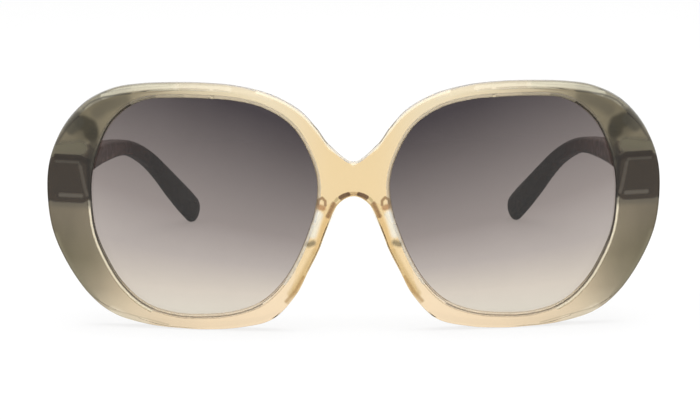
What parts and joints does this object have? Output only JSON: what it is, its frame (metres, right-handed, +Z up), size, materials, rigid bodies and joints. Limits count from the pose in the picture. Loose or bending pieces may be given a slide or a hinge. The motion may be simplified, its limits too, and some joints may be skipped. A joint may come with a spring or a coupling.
{
  "type": "sunglasses",
  "caption": "Oversized rounded sunglasses with a wrapped translucent plastic front, gradient lenses bevelled into the rims, nose pads and folding temples with bent tips.",
  "frame": {"origin": "on the plane the open glasses stand on, under the middle of their width and depth", "axes": "+Z up, the front faces -Y and the temples reach back along +Y, +X towards the wearer's left"},
  "size_m": [0.149, 0.1446, 0.0602],
  "materials": {
    "front_plastic": "polished translucent plastic, champagne in the middle and olive grey at the sides",
    "lens_tint": "polished smoke tint, dark at the top and nearly clear at the bottom",
    "pad_plastic": "polished translucent amber",
    "temple_plastic": "polished dark brown",
    "hinge_metal": "satin nickel silver",
    "screw_steel": "bright steel",
    "core_steel": "drawn wire"
  },
  "bodies": {
    "front": {"front": "front_plastic", "lens_left": "lens_tint", "lens_right": "lens_tint", "nose_pad_left": "pad_plastic", "nose_pad_right": "pad_plastic", "front_hinge_left": "hinge_metal", "front_hinge_right": "hinge_metal", "hinge_screw_left": "screw_steel", "hinge_screw_right": "screw_steel"},
    "left_temple": {"temple_left": "temple_plastic", "temple_hinge_left": "hinge_metal", "core_wire_left": "core_steel"},
    "right_temple": {"temple_right": "temple_plastic", "temple_hinge_right": "hinge_metal", "core_wire_right": "core_steel"}
  },
  "joints": [
    {"name": "left_fold", "type": "hinge", "parent": "front", "child": "left_temple", "pos_m": [0.06615, -0.05347, 0.03554], "axis": [0, 0.0872, 0.9962], "range_deg": [0, 79]},
    {"name": "right_fold", "type": "hinge", "parent": "front", "child": "right_temple", "pos_m": [-0.06615, -0.05347, 0.03554], "axis": [0, -0.0872, -0.9962], "range_deg": [0, 74]}
  ]
}
